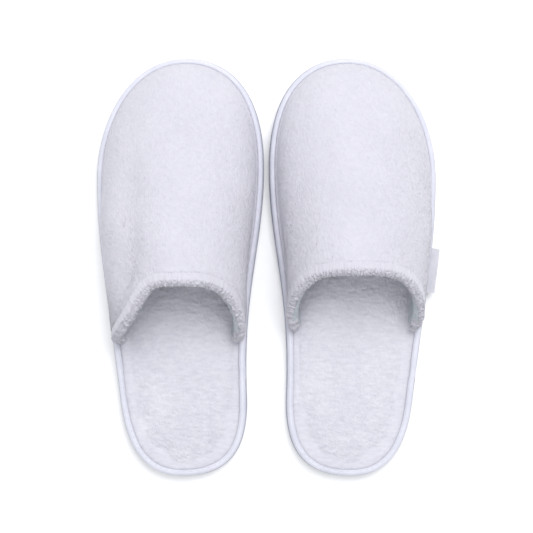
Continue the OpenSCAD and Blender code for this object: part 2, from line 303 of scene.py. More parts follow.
def tube(path, radii, sides, start=0):
    """Points and faces of a round tube along a path, with its ends closed."""
    run = unit(np.gradient(path, axis=0))
    across = unit(np.cross(run, np.array([0.31, 0.17, 0.93])))
    up = np.cross(across, run)
    turn = 2 * np.pi * np.arange(sides) / sides
    ring = np.cos(turn)[None, :, None] * across[:, None] + np.sin(turn)[None, :, None] * up[:, None]
    points = path[:, None] + np.broadcast_to(radii, len(path))[:, None, None] * ring
    return points.reshape(-1, 3), sleeve_faces(len(path), sides, start)


def cut_across(ob, stations):
    """Cuts a mesh by planes across the sole, so that large faces can bend."""
    bm = bmesh.new()
    bm.from_mesh(ob.data)
    for y in stations:
        bmesh.ops.bisect_plane(bm, geom=bm.verts[:] + bm.edges[:] + bm.faces[:], plane_co=(0, y * MM, 0),
                               plane_no=(0, 1, 0), dist=1e-7)
    bm.to_mesh(ob.data)
    bm.free()


BEND_STATIONS = np.linspace(FLEX_Y, FLEX_Y - FLEX_RUN, 13)
RING_COUNT = 420


def plate(name, side, profile, look, count=RING_COUNT):
    """A flat layer of the sole. The profile runs from the underside round the edge to the top, as
    (inset, height) pairs, and both faces are closed."""
    ring = resample(OUTLINE, count, closed=True)
    points = np.vstack([np.c_[inset(ring, d), np.full(count, z)] for d, z in profile])
    ob = piece(name, side, points, sleeve_faces(len(profile), count), look)
    cut_across(ob, BEND_STATIONS)
    return ob


def sole_piece(ob, side, node):
    """Hides the CAD nodes for the front and heel of this layer of the sole, and bakes the piece's place into
    its mesh.
    """
    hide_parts(f"{side}_{node}_front", f"{side}_{node}_heel")
    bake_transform(ob)


# ---------- Materials ----------
class Look:
    """A procedural material: a Principled shader with node helpers."""

    def __init__(self, name, **sockets):
        self.material = bpy.data.materials.new(name)
        self.material.use_nodes = True
        self.tree = self.material.node_tree
        self.shader = self.tree.nodes["Principled BSDF"]
        self.place = self.tree.nodes.new("ShaderNodeTexCoord").outputs["Object"]
        for socket, value in sockets.items():
            self.shader.inputs[socket.replace("_", " ")].default_value = value

    def node(self, kind, inputs=(), **settings):
        made = self.tree.nodes.new(kind)
        for key, value in settings.items():
            setattr(made, key, value)
        for key, value in dict(inputs).items():
            if isinstance(value, bpy.types.NodeSocket):
                self.tree.links.new(value, made.inputs[key])
            else:
                made.inputs[key].default_value = value
        return made

    def noise(self, size, detail=2.0, rough=0.5, stretch=(1, 1, 1)):
        """Noise with lumps about size millimetres across, from 0 to 1."""
        place = self.node("ShaderNodeMapping", {"Vector": self.place, "Scale": stretch}).outputs[0]
        settings = {"Vector": place, "Scale": 1 / (size * MM), "Detail": detail, "Roughness": rough}
        return self.node("ShaderNodeTexNoise", settings).outputs["Fac"]

    def wave(self, pitch, direction, distortion=0.0):
        """Stripes with the given pitch in millimetres."""
        scale = 0.5 / (pitch * MM) / math.pi
        settings = {"Vector": self.place, "Scale": scale, "Distortion": distortion}
        return self.node("ShaderNodeTexWave", settings, bands_direction=direction).outputs["Fac"]

    def cells(self, size):
        """Distance from the middle of the nearest of many cells, about size millimetres across."""
        settings = {"Vector": self.place, "Scale": 1 / (size * MM)}
        return self.node("ShaderNodeTexVoronoi", settings).outputs["Distance"]

    def maths(self, how, a, b):
        return self.node("ShaderNodeMath", {0: a, 1: b}, operation=how).outputs[0]

    def colour(self, factor, low, high):
        """Base colour that runs from low to high as the factor goes from 0.3 to 0.7."""
        ramp = self.node("ShaderNodeValToRGB", {"Fac": factor})
        for element, place, colour in zip(ramp.color_ramp.elements, (0.3, 0.7), (low, high)):
            element.position = place
            element.color = (*colour, 1)
        self.tree.links.new(ramp.outputs["Color"], self.shader.inputs["Base Color"])
        return self

    def roughness(self, factor, low, high):
        settings = {"Value": factor, "To Min": low, "To Max": high}
        spread = self.node("ShaderNodeMapRange", settings).outputs[0]
        self.tree.links.new(spread, self.shader.inputs["Roughness"])
        return self

    def bumps(self, *heights):
        """Stacks bumps: pairs of a height and its depth in millimetres."""
        normal = None
        for height, depth in heights:
            inputs = {"Height": height, "Distance": depth * MM, "Strength": 1.0}
            if normal is not None:
                inputs["Normal"] = normal
            normal = self.node("ShaderNodeBump", inputs).outputs["Normal"]
        self.tree.links.new(normal, self.shader.inputs["Normal"])
        return self


# Darkest and lightest colour of each material
UPPER_WHITES = ((0.535, 0.527, 0.592), (0.595, 0.586, 0.65))
HEM_WHITES = ((0.525, 0.517, 0.58), (0.60, 0.59, 0.655))
INSOLE_WHITES = ((0.53, 0.525, 0.595), (0.665, 0.66, 0.72))
SATIN_WHITES = ((0.56, 0.563, 0.645), (0.62, 0.622, 0.70))
RIBBON_WHITES = ((0.54, 0.54, 0.59), (0.60, 0.60, 0.65))
# EVA: a grey darker than the white foam, painted shade for the shadowed edge of the sole
EVA_GREYS_PAINTED_SHADE = ((0.32, 0.33, 0.39), (0.385, 0.395, 0.46))
LINING_BLUES = ((0.39, 0.43, 0.465), (0.45, 0.49, 0.525))
FOAM_CREAMS = ((0.74, 0.72, 0.64), (0.82, 0.80, 0.72))
FLEECE_CREAMS = ((0.78, 0.77, 0.72), (0.85, 0.84, 0.80))
BOARD_GREYS = ((0.36, 0.33, 0.28), (0.52, 0.49, 0.43))
MILKY_WHITES = ((0.72, 0.71, 0.66), (0.82, 0.81, 0.77))


def terry_look(name, low, high, streak):
    """Cut terry: soft clumps of pile with fine fibres, lying a little along one direction."""
    look = Look(name, Sheen_Weight=0.25, Sheen_Roughness=0.6, Specular_IOR_Level=0.15)
    clumps = look.noise(2.6, 3, 0.6, streak)
    fibres = look.noise(0.55, 3, 0.7, streak)
    patches = look.noise(30, 2)
    look.colour(look.maths("ADD", look.maths("MULTIPLY", clumps, 0.6), look.maths("MULTIPLY", patches, 0.4)),
                low, high)
    look.roughness(fibres, 0.9, 1.0)
    look.bumps((clumps, 0.35), (fibres, 0.4))
    return look.material


def tape_look(name):
    """Polyester binding tape with a fine rib across it and a soft satin face."""
    look = Look(name, Sheen_Weight=0.1, Sheen_Roughness=0.4, Specular_IOR_Level=0.35)
    rib = look.wave(0.6, "DIAGONAL")
    look.colour(look.noise(9, 2), *SATIN_WHITES)
    look.roughness(look.noise(3, 2), 0.42, 0.6)
    look.bumps((look.noise(2.2, 2), 0.12), (rib, 0.05))
    return look.material


def eva_look(name):
    """Closed-cell EVA foam with fine open cells on its cut faces; its white is darkened to grey as painted
    shade along the sole's edge.
    """
    look = Look(name, Specular_IOR_Level=0.3)
    look.colour(look.noise(12, 3), *EVA_GREYS_PAINTED_SHADE)
    look.roughness(look.noise(2, 2), 0.5, 0.72)
    look.bumps((look.cells(0.55), 0.12), (look.noise(5, 2), 0.2))
    return look.material


def cloth_look(name, low, high, pitch):
    """Plain woven cloth: warp and weft threads that cross."""
    look = Look(name, Sheen_Weight=0.1, Specular_IOR_Level=0.2)
    weave = look.maths("MULTIPLY", look.wave(pitch, "X", 0.4), look.wave(pitch, "Y", 0.4))
    look.colour(look.noise(6, 3), low, high)
    look.roughness(weave, 0.75, 0.95)
    look.bumps((weave, 0.15), (look.noise(4, 2), 0.25))
    return look.material


def foam_look(name, low, high, size):
    """Open-cell foam."""
    look = Look(name, Specular_IOR_Level=0.2)
    cells = look.cells(size)
    look.colour(look.noise(15, 3), low, high)
    look.roughness(cells, 0.85, 1.0)
    look.bumps((cells, 0.3))
    return look.material


def board_look(name):
    """Pressed cellulose board with flecks of fibre."""
    look = Look(name, Specular_IOR_Level=0.2)
    fleck = look.noise(1.6, 6, 0.8, (1, 0.3, 1))
    look.colour(fleck, *BOARD_GREYS)
    look.roughness(look.noise(3, 2), 0.8, 0.95)
    look.bumps((fleck, 0.08))
    return look.material


def film_look(name):
    """Milky hot-melt film with a pebbled face."""
    look = Look(name, Specular_IOR_Level=0.5, Coat_Weight=0.1)
    look.colour(look.noise(8, 3), *MILKY_WHITES)
    look.roughness(look.noise(2, 2), 0.3, 0.5)
    look.bumps((look.noise(1.2, 3), 0.1))
    return look.material


def thread_look(name):
    """Twisted polyester sewing thread."""
    look = Look(name, Sheen_Weight=0.2, Specular_IOR_Level=0.4)
    twist = look.wave(0.35, "DIAGONAL")
    look.colour(twist, *SATIN_WHITES)
    look.roughness(twist, 0.4, 0.6)
    look.bumps((twist, 0.05))
    return look.material


UPPER_TERRY = terry_look("upper_terry_white", *UPPER_WHITES, (1, 0.8, 1))
HEM_TERRY = terry_look("hem_terry_white", *HEM_WHITES, (1, 1, 1))
INSOLE_TERRY = terry_look("insole_terry_white", *INSOLE_WHITES, (0.45, 1.2, 1))
TAPE = tape_look("binding_tape_satin")
EVA = eva_look("eva_white")
LINING = cloth_look("lining_tricot", *LINING_BLUES, 0.5)
RIBBON = cloth_look("label_ribbon_woven", *RIBBON_WHITES, 0.35)
FOAM = foam_look("padding_foam_cream", *FOAM_CREAMS, 0.9)
FLEECE = foam_look("interlining_foam", *FLEECE_CREAMS, 0.7)
BOARD = board_look("stiffener_board_grey")
FILM = film_look("hot_melt_film_milky")
THREAD = thread_look("thread_white")


# ---------- Sole ----------
GROOVE_PITCH = 9.0
GROOVE_W = 1.8
GROOVE_DEPTH = 0.8
GROOVE_EDGE = 8.0
GROOVE_SLOPE = 0.3
FOAM_BULGE = 0.5
# Quads of a block, by its eight corners
BLOCK_FACES = ((0, 2, 3, 1), (4, 5, 7, 6), (0, 1, 5, 4), (3, 2, 6, 7), (2, 0, 4, 6), (1, 3, 7, 5))


def groove_cutter(side):
    """Blocks that stand for all the grooves, each with sloping sides and open below."""
    outer, inner = sides_of(inset(resample(OUTLINE, RING_COUNT, closed=True), GROOVE_EDGE))
    last = int((SOLE_LENGTH - 4 * GROOVE_EDGE) / GROOVE_PITCH / 2)
    points, faces = [], []
    for i in range(-last, last + 1):
        faces += [[len(points) + n for n in quad] for quad in BLOCK_FACES]
        for spread, height in ((GROOVE_SLOPE, -0.4), (-GROOVE_SLOPE, GROOVE_DEPTH)):
            half = GROOVE_W / 2 + spread
            for y in (i * GROOVE_PITCH - half, i * GROOVE_PITCH + half):
                points += [[np.interp(y, *wall), y, height] for wall in (inner, outer)]
    return piece("groove_cutter", side, points, faces, EVA)


def outsole(side):
    """EVA sheet with eased edges and anti-slip grooves cut across its underside."""
    z = OUTSOLE_TOP
    profile = [(1.0, 0), (0.35, 0.12), (0, 0.6), (0.05, z * 0.5), (0, z - 0.7), (0.25, z - 0.15), (0.9, z)]
    ob = plate(f"{side}_eva_sole", side, profile, EVA)
    cutter = groove_cutter(side)
    cut = ob.modifiers.new("grooves", "BOOLEAN")
    cut.operation, cut.object, cut.solver = "DIFFERENCE", cutter, "EXACT"
    apply_modifiers(ob)
    bpy.data.objects.remove(cutter)
    soften(ob)
    sole_piece(ob, side, "outsole")


def apply_modifiers(ob):
    """Replaces an object's mesh with what its modifiers make of it."""
    made = bpy.data.meshes.new_from_object(ob.evaluated_get(bpy.context.evaluated_depsgraph_get()))
    ob.modifiers.clear()
    old, ob.data = ob.data, made
    bpy.data.meshes.remove(old)


def soften(ob, angle=math.radians(40)):
    """Smooth shading that stays sharp across hard edges."""
    ob.data.shade_smooth()
    ob.data.set_sharp_from_angle(angle=angle)


def sole_layer(side, name, profile, look, node):
    """A plate with sharp edges that stands for one layer of the sole."""
    ob = plate(f"{side}_{name}", side, profile, look)
    soften(ob)
    sole_piece(ob, side, node)
    return ob


def inner_layers(side):
    """Hot-melt film inside the binding, stiffener board, and a foam sheet whose edge bulges a little."""
    film = [(SEAM_IN, OUTSOLE_TOP), (SEAM_IN - 0.1, OUTSOLE_TOP + 0.3), (SEAM_IN, FILM_TOP)]
    sole_layer(side, "melt_film", film, FILM, "glue_film")
    board = [(WALL_IN, FILM_TOP), (WALL_IN, BOARD_TOP)]
    sole_layer(side, "fibre_board", board, BOARD, "insole_board")
    t = np.linspace(0, 1, 7)
    foam = np.c_[WALL_IN + FOAM_BULGE * (1 - np.sin(np.pi * t)), BOARD_TOP + t * (FOAM_TOP - BOARD_TOP)]
    ob = sole_layer(side, "foam_sheet", foam, FOAM, "foam_pad")


# ---------- Insole cover ----------
CROWN_CAP = 1.9
EDGE_DIP = 1.1
EDGE_EASE = 1.8
PAD_LIFT = 1.4
PAD_ROWS = 481
PAD_COLUMNS = 191
PAD_STEP = 10
# Shares of the grid's spacing that crowd its rows to the heel and toe, and its columns to the sides
ROW_CROWD = 0.35
COLUMN_CROWD = 0.25
# Grid on which the simulated crown is measured
CROWN_ROWS = 91
CROWN_COLUMNS = 31
# The pad that is inflated, and the share of its thickness, from below, that is held
INFLATED_T = 9.0
VOXEL = 5.0
HELD_SHARE = 0.6
PRESSURE = 4.0
STIFFNESS = 12.0
FRAMES = 20
# Unevenness of the terry: (depth, size, stretch), from broad lumps to fine streaks that lie across
PAD_UNEVEN = ((0.35, 22, (1, 1, 1)), (0.2, 3.2, (0.55, 1.2, 1)), (0.24, 1.6, (0.7, 1.1, 1)))
PAD_PILE = 0.5


def pad_plan(rows, columns, d, trim=0.5):
    """A grid of places in plan that fills an inset outline."""
    points = inset(OUTLINE, d)
    outer, inner = sides_of(points)
    share = np.linspace(0, 1, rows)
    share = ROW_CROWD * (1 - np.cos(np.pi * share)) / 2 + (1 - ROW_CROWD) * share
    y = points[:, 1].min() + trim + share * (np.ptp(points[:, 1]) - 2 * trim)
    a, b = np.interp(y, *outer)[:, None], np.interp(y, *inner)[:, None]
    u = np.linspace(-1, 1, columns)[None, :]
    u = COLUMN_CROWD * np.sin(u * np.pi / 2) + (1 - COLUMN_CROWD) * u
    x = (a + b) / 2 + u * (a - b) / 2
    return np.stack([x, np.broadcast_to(y[:, None], x.shape)], axis=-1)


def simulated_crown(plan):
    """Height that an inflated pad of the insole's outline rises by, from a cloth simulation."""
    thick = INFLATED_T
    profile = [(4.0, 0), (2.0, thick * 0.2), (1.5, thick * 0.5), (2.0, thick * 0.8), (4.0, thick)]
    pad = plate("pad_to_inflate", "right", profile, FOAM, count=160)
    remesh = pad.modifiers.new("remesh", "REMESH")
    remesh.mode, remesh.voxel_size = "VOXEL", VOXEL * MM
    apply_modifiers(pad)
    rest = np.array([v.co for v in pad.data.vertices]) / MM
    held = pad.vertex_groups.new(name="held")
    held.add([i for i, p in enumerate(rest) if p[2] < HELD_SHARE * thick], 1.0, "REPLACE")
    cloth = pad.modifiers.new("cloth", "CLOTH")
    cloth.settings.quality = 5
    cloth.settings.use_pressure = True
    cloth.settings.uniform_pressure_force = PRESSURE
    cloth.settings.tension_stiffness = cloth.settings.compression_stiffness = STIFFNESS
    cloth.settings.vertex_group_mass = "held"
    cloth.settings.effector_weights.gravity = 0.0
    cloth.collision_settings.use_collision = False
    for step in range(1, FRAMES + 1):
        bpy.context.scene.frame_set(step)
    apply_modifiers(pad)
    corners = [v.co for v in pad.data.vertices]
    tree = BVHTree.FromPolygons(corners, [list(f.vertices) for f in pad.data.polygons])
    heights = []
    for x, y in plan.reshape(-1, 2):
        above = Vector(((x + PLACE_X["right"]) * MM, y * MM, 0.1))
        hit = tree.ray_cast(above, Vector((0, 0, -1)))[0]
        heights.append(0 if hit is None else hit.z / MM - thick)
    bpy.data.objects.remove(pad)
    bpy.context.scene.frame_set(1)
    return np.array(heights).reshape(plan.shape[:2])


def pad_crown():
    """Height of the crowned insole over its edge: simulated, softly capped, and eased down towards the edge
    by a formula.
    """
    plan = pad_plan(CROWN_ROWS, CROWN_COLUMNS, WALL_IN)
    u, v = np.linspace(-1, 1, CROWN_COLUMNS)[None, :], np.linspace(-1, 1, CROWN_ROWS)[:, None]
    domed = (1 - u**4) * (1 - v**6)
    capped = CROWN_CAP * np.tanh(np.maximum(simulated_crown(plan), 0) / CROWN_CAP)
    return capped * smoothstep(EDGE_EASE * domed)


def spread_grid(table, rows, columns):
    """A table of numbers resampled to more rows and columns."""
    at = np.linspace(0, 1, table.shape[0])
    tall = np.stack([np.interp(np.linspace(0, 1, rows), at, c) for c in table.T], axis=1)
    at = np.linspace(0, 1, table.shape[1])
    return np.stack([np.interp(np.linspace(0, 1, columns), at, r) for r in tall])


def insole_cover(side, crown, seed):
    """Terry cover, crowned over the foam and drawn down to the binding, with its pile lying across."""
    plan = pad_plan(PAD_ROWS, PAD_COLUMNS, WALL_IN)
    rise = spread_grid(crown, PAD_ROWS, PAD_COLUMNS)
    flat = np.dstack([plan, np.full(plan.shape[:2], COVER_TOP - EDGE_DIP)])
    uneven = sum(depth * noise(flat * stretch, size, seed + k)
                 for k, (depth, size, stretch) in enumerate(PAD_UNEVEN))
    pile = PAD_PILE * np.random.default_rng(seed).random(rise.shape) ** 2
    top = flat.copy()
    top[..., 2] += PAD_LIFT * rise + smoothstep(rise / 0.3) * (uneven + pile)
    low = pad_plan((PAD_ROWS - 1) // PAD_STEP + 1, (PAD_COLUMNS - 1) // PAD_STEP + 1, WALL_IN)
    bottom = np.dstack([low, np.full(low.shape[:2], FOAM_TOP)])
    rim = flat[::PAD_STEP, ::PAD_STEP, :2]
    bottom[[0, -1], :, :2] = rim[[0, -1]]
    bottom[:, [0, -1], :2] = rim[:, [0, -1]]
    points, faces = shell(top, bottom)
    ob = piece(f"{side}_terry_insole", side, points, faces, INSOLE_TERRY)
    sole_piece(ob, side, "insole_cover")


# ---------- Edge binding ----------
TAPE_STATIONS = 1100
TAPE_WANDER = 0.16
TAPE_UNEVEN = 0.07
LAP_LENGTH = 11.0
LAP_T = 0.3
STITCH_PITCH = 4.4
STITCH_HALF = 1.4
STITCH_ROW_IN = 1.1
STITCH_DIP = 0.16
BINDING_THREAD_R = 0.26
BINDING_THREAD_SINK = 0.45
# Where the tape's ends overlap: side of the outline and y
TAPE_JOIN = {"left": ("inner", -66.0), "right": ("outer", -74.0)}
STITCH_COUNT = int(PERIMETER / STITCH_PITCH)


def tape_section():
    """Section of the folded tape as (inset, height): round its outside, then back round its inside."""
    top, low, roof = TAPE_TOP, OUTSOLE_TOP, COVER_TOP + 0.02
    under = low + TAPE_T - 0.12
    outside = [
        (LIP_IN, low + 0.05), (3.2, low + 0.03), (1.9, low + 0.04), (1.2, low + 0.3),
        (WELT + 0.3, low + 1.2), (WELT + 0.15, low + 2.6), (WELT + 0.1, low + 4.2), (WELT + 0.2, low + 5.6),
        (WELT + 0.5, low + 6.6), (1.6, top - 0.4), (2.2, top + 0.1), (2.9, top + 0.35),
        (3.5, top + 0.3), (4.1, top - 0.05), (4.6, top - 0.45), (LIP_IN + 0.05, top - 0.68)]
    inside = [
        (LIP_IN - 0.25, roof), (3.6, roof), (2.2, roof), (WALL_IN - 0.04, roof - 0.3),
        (WALL_IN - 0.05, low + 3.4), (WALL_IN - 0.04, low + 1.2), (2.2, under), (3.6, under),
        (LIP_IN - 0.2, under - 0.08)]
    return outside, inside


def tape_lap(side, ring, at):
    """From 0 to 1 where the tape's end laps over its start."""
    where, y = TAPE_JOIN[side]
    on_side = ring[:, 0] > 0 if where == "outer" else ring[:, 0] < 0
    join = at[np.where(on_side, np.abs(ring[:, 1] - y), np.inf).argmin()]
    return smoothstep((at - join) / 0.8) * smoothstep((join + LAP_LENGTH - at) / 5)


def edge_binding(side, seed):
    """Tape folded round the edge of the insole, puffed up on top and puckered by its stitches."""
    ring = resample(OUTLINE, TAPE_STATIONS, closed=True)
    at = np.arange(TAPE_STATIONS) * PERIMETER / TAPE_STATIONS
    line = np.c_[at, at * 0, at * 0]
    wander = noise(line, 26, seed) + 0.5 * noise(line, 9, seed + 1)
    pucker = np.cos(2 * np.pi * (at / PERIMETER * STITCH_COUNT - 0.5))
    lap = tape_lap(side, ring, at)
    outside, inside = tape_section()
    loops = []
    for k, (d, z) in enumerate(outside + inside):
        on_top = k < len(outside) and z > TAPE_TOP - 0.6
        on_wall = k < len(outside) and z > OUTSOLE_TOP + 0.3 and not on_top
        depth, height = np.full(len(ring), d), np.full(len(ring), z)
        if d > 4 and z > OUTSOLE_TOP + 2:
            depth += TAPE_WANDER * wander
        if on_wall:
            depth -= LAP_T * lap
        if on_top:
            stitched = math.exp(-(((d - LIP_IN + STITCH_ROW_IN) / 0.7) ** 2))
            height += TAPE_UNEVEN * wander - STITCH_DIP * stitched * (1 + pucker) + LAP_T * lap
        loops.append(np.c_[inset(ring, depth), height])
    points = np.stack(loops, axis=1)
    faces = grid_faces(TAPE_STATIONS, len(loops), close_rows=True, close_columns=True)
    ob = piece(f"{side}_binding_tape", side, points, faces, TAPE)
    sole_piece(ob, side, "edge_binding")


def threads(name, side, lines, radius, sink=0.0, stations=9):
    """Short threads, each from the start to the end of its line, that dip at both ends by the sink."""
    points, faces = [], []
    t = np.linspace(0, 1, stations)[:, None]
    for start, end in lines:
        path = start + t * (end - start) - [0, 0, sink] * (2 * t - 1) ** 6
        made, joined = tube(path, radius, 8, len(points) * 8 * stations)
        points.append(made)
        faces += joined
    return piece(name, side, np.vstack(points), faces, THREAD)


def binding_stitches(side):
    """A row of stitches along the middle of the binding's top lip."""
    row = inset(resample(OUTLINE, TAPE_STATIONS, closed=True), LIP_IN - STITCH_ROW_IN)
    row = np.c_[row, np.full(len(row), TAPE_TOP + 0.12)]
    row = np.vstack([row, row[:1]])
    at = np.linspace(0, PERIMETER, TAPE_STATIONS + 1)
    middles = (np.arange(STITCH_COUNT) + 0.5) * PERIMETER / STITCH_COUNT
    lines = [place_on(row, at, (s + [-STITCH_HALF, STITCH_HALF]) % PERIMETER) for s in middles]
    ob = threads(f"{side}_binding_thread", side, lines, BINDING_THREAD_R, BINDING_THREAD_SINK)
    sole_piece(ob, side, "binding_stitches")


# ---------- Upper ----------
def swell_at(share, across, y):
    """Outward swell at a share of the height, on the outer side where across is positive."""
    start = np.where(across > 0, *SWELL_START)
    run = np.where(across > 0, *SWELL_RUN)
    return 4 * share * (1 - share) * WING_SWELL * smoothstep((start - y) / run)


class Skin:
    """A skin of the upper, set by how far it lies inside the terry's outer face."""

    def __init__(self, side, d):
        points = inset(OUTLINE, SEAM_IN + d)
        self.outer, self.inner = sides_of(points)
        self.height = UPPER_H - d
        self.toe = points[:, 1].max()
        self.crest = WING_Y[side] + ARCH_DEPTH

    def sides(self, y):
        return np.interp(y, *self.outer), np.interp(y, *self.inner)

    def point(self, x, y):
        """The skin's point over a place in plan, with the side walls swelling outwards."""
        a, b = self.sides(y)
        across = np.minimum(1, np.abs(x - (a + b) / 2) / np.maximum(0.01, (a - b) / 2))
        ahead = np.maximum(0, self.toe - y) / (self.toe - self.crest)
        z = self.height * ahead**RISE * np.sqrt(np.maximum(0, 1 - across**CROWN))
        out = swell_at(np.minimum(1, z / self.height), 2 * x - a - b, y)
        return np.stack([x + out * (2 * x - a - b) / np.maximum(1, a - b), y, COVER_TOP + z], axis=-1)

    def normal(self, x, y, step=0.05):
        across = self.point(x + step, y) - self.point(x - step, y)
        ahead = self.point(x, y + step) - self.point(x, y - step)
        return unit(np.cross(across, ahead))

    def plan_of(self, p):
        """The place in plan that a point on the skin came from, before the swell."""
        a, b = self.sides(p[..., 1])
        middle, half = (a + b) / 2, (a - b) / 2
        swell = swell_at((p[..., 2] - COVER_TOP) / self.height, p[..., 0] - middle, p[..., 1])
        across = np.clip((p[..., 0] - middle) / (half + swell), -0.99, 0.99)
        return np.stack([middle + across * half, p[..., 1]], axis=-1)


class Hem:
    """The opening's edge, by the angle of its arch from 0 at the outer wing to 180 at the inner one."""

    def __init__(self, side):
        self.side = side
        self.skin = Skin(side, UPPER_T / 2)

    def plan(self, angle):
        turn = np.radians(angle)
        y = WING_Y[self.side] + ARCH_DEPTH * np.sin(turn)
        a, b = self.skin.sides(y)
        most = np.where(np.cos(turn) > 0, *NARROWING[self.side])
        narrowed = 1 - most * (1 - (1 - np.sin(turn)) ** 2)
        across = np.sign(np.cos(turn)) * np.sqrt(np.abs(np.cos(turn))) * narrowed
        return (a + b) / 2 + across * (a - b) / 2, y

    def middle(self, angle):
        return self.skin.point(*self.plan(angle))

    def normal(self, angle):
        return self.skin.normal(*self.plan(angle))

    def run(self, angle):
        return unit(self.middle(angle + 0.5) - self.middle(angle - 0.5))

    def upper_end(self, angle):
        """Point on the terry's outer face where the upper stops."""
        normal = self.normal(angle)
        back = unit(np.cross(self.run(angle), normal))
        return self.middle(angle) + (ROLL_R + CLEAR) * back + UPPER_T / 2 * normal


FIRST_ANGLE = 4.0
COLUMN_EASE = 1.7


def upper_grid(side, columns, rows):
    """The terry's outer face: columns of points from the seam up to the hem, evenly spaced."""
    skin, hem = Skin(side, 0), Hem(side)
    start = WING_Y[side] + SEAM_AHEAD
    (outer_y, outer_x), (inner_y, inner_x) = skin.outer, skin.inner
    up, down = outer_y > start, inner_y > start
    seam = np.vstack([
        [[np.interp(start, outer_y, outer_x), start]], np.c_[outer_x, outer_y][up],
        np.c_[inner_x, inner_y][down][::-1], [[np.interp(start, inner_y, inner_x), start]]])
    foot = resample(seam, columns)
    angle = np.linspace(FIRST_ANGLE, 180 - FIRST_ANGLE, columns)
    end = hem.upper_end(angle)
    top = skin.plan_of(end)
    lift = end - skin.point(top[:, 0], top[:, 1])
    t = np.linspace(0, 1, 400) ** 1.6
    plan = foot[:, None] + (top - foot)[:, None] * (t**COLUMN_EASE)[None, :, None]
    dense = skin.point(plan[..., 0], plan[..., 1]) + t[None, :, None] * lift[:, None]
    return np.stack([resample(column, rows) for column in dense])


# Broad soft dents of each upper: (x, y, reach across, reach along, depth)
DENTS = {
    "left": [(33, 20, 9, 60, 3.3), (-12, 40, 16, 30, 0.9), (8, 78, 20, 14, 0.8), (-34, 20, 12, 30, 1.0)],
    "right": [(-36, 35, 13, 55, 1.8), (20, 62, 18, 22, 0.9), (-6, 20, 22, 16, 0.8)],
}


def dented(side, grid, normals, seed):
    """The grid with the broad dents and slight unevenness of a soft upper."""
    depth = 0.5 * noise(grid, 34, seed)
    for x, y, wide, tall, most in DENTS[side]:
        far = ((grid[..., 0] - x) / wide) ** 2 + ((grid[..., 1] - y) / tall) ** 2
        depth = depth + most * np.exp(-far)
    rows = np.linspace(0, 1, grid.shape[1])[None, :]
    held = smoothstep(rows / 0.15) * smoothstep((1 - rows) / 0.12)
    return grid - (depth * held)[..., None] * normals


def upper_normals(side, grid):
    """Outward directions over the upper, level at the seam and square to the hem at its edge."""
    normals = grid_normals(grid)
    normals[:END_COLUMNS], normals[-END_COLUMNS:] = normals[END_COLUMNS], normals[-END_COLUMNS - 1]
    flat = normals[:, 0] * [1, 1, 0]
    normals[:, 0] = unit(flat)
    angle = np.linspace(FIRST_ANGLE, 180 - FIRST_ANGLE, grid.shape[0])
    at_hem = Hem(side).normal(angle)
    rows = np.linspace(0, 1, grid.shape[1])[None, :, None]
    share = smoothstep((rows - 0.9) / 0.1)
    return unit(normals * (1 - share) + at_hem[:, None] * share)


# The lining's way from the upper round the inner side of the roll: (towards the upper, outwards)
EDGE_PATH = ((3.4, -2.2), (2.2, -3.2), (0.6, -3.5), (-1.2, -3.4), (-2.6, -3.0), (-3.5, -2.3),
             (-4.1, -1.4), (-4.4, -0.5))
EDGE_ROWS = 12
EDGE_SHOWS = 1.9
EDGE_UNTIL = 62.0


def lining_edge(side):
    """Two faces of the lining's edge, which shows beyond the terry along the wings."""
    hem = Hem(side)
    angle = np.linspace(FIRST_ANGLE, 180 - FIRST_ANGLE, LAYER_COLUMNS)
    middle, normal = hem.middle(angle), hem.normal(angle)
    back = unit(np.cross(hem.run(angle), normal))
    from_wing = np.minimum(angle, 180 - angle)
    shows = EDGE_SHOWS * smoothstep((EDGE_UNTIL - from_wing) / 30) * smoothstep((from_wing - 4) / 12)
    tucked = 0.4 * (1 - smoothstep((from_wing - 4) / 8))
    path = resample(np.array(EDGE_PATH), EDGE_ROWS)
    share = np.linspace(0, 1, EDGE_ROWS)[None, :]
    kept = 1 - share * tucked[:, None]
    towards = path[None, :, 0] * kept - (shows - 1.6)[:, None] * share**2
    outwards = path[None, :, 1] * kept
    turn = unit(np.gradient(path, axis=0))
    faces = []
    for depth in (0, LINING_T):
        u = towards + depth * turn[None, :, 1]
        v = outwards - depth * np.maximum(0.3, -turn[None, :, 0])
        faces.append(middle[:, None] + u[..., None] * back[:, None] + v[..., None] * normal[:, None])
    return faces


TERRY_COLUMNS = 521
TERRY_ROWS = 161
END_COLUMNS = 5
COARSE = 4
LAYER_COLUMNS = (TERRY_COLUMNS - 1) // COARSE + 1
LAYER_ROWS = (TERRY_ROWS - 1) // COARSE + 1
HEM_ROW = LAYER_ROWS - 6
HEM_STITCH_HALF = 1.3
HEM_THREAD_R = 0.24
PILE = 0.16
WING_PILE = 0.5
PILE_LEAN = 0.1
SEAM_FILL = 0.45
SHOULDER = 1.0
LINING_UNEVEN = 0.12
# Cloths behind the terry: name, CAD node, slot, material, and insets of the near and far face
BACKINGS = (
    ("vamp_foam", "upper_interlining", "padding_foam", FLEECE, INTERLINING_IN,
     INTERLINING_IN + INTERLINING_T),
    ("vamp_lining", "upper_lining", "lining_cloth", LINING, LINING_IN, UPPER_T))


def terry_pile(grid, normals, seed):
    """The terry's outer face with its pile, longer at the wings and pressed flat at the seam."""
    height = grid[..., 2] - COVER_TOP
    free = smoothstep(height / 2.5)
    rng = np.random.default_rng(seed)
    clump = 0.07 * noise(grid, 4.6, seed + 2) + 0.05 * noise(grid, 2.2, seed + 3)
    near_wing = smoothstep((-5 - grid[..., 1]) / 30)
    pile = (PILE + WING_PILE * near_wing) * rng.random(height.shape) ** 2
    proud = 0.3 * free + SEAM_FILL * (1 - free) + SHOULDER * np.exp(-(((height - 1.9) / 1.1) ** 2))
    face = grid + (free * (clump + pile) + proud)[..., None] * normals
    return face + free[..., None] * rng.normal(0, PILE_LEAN, face.shape)


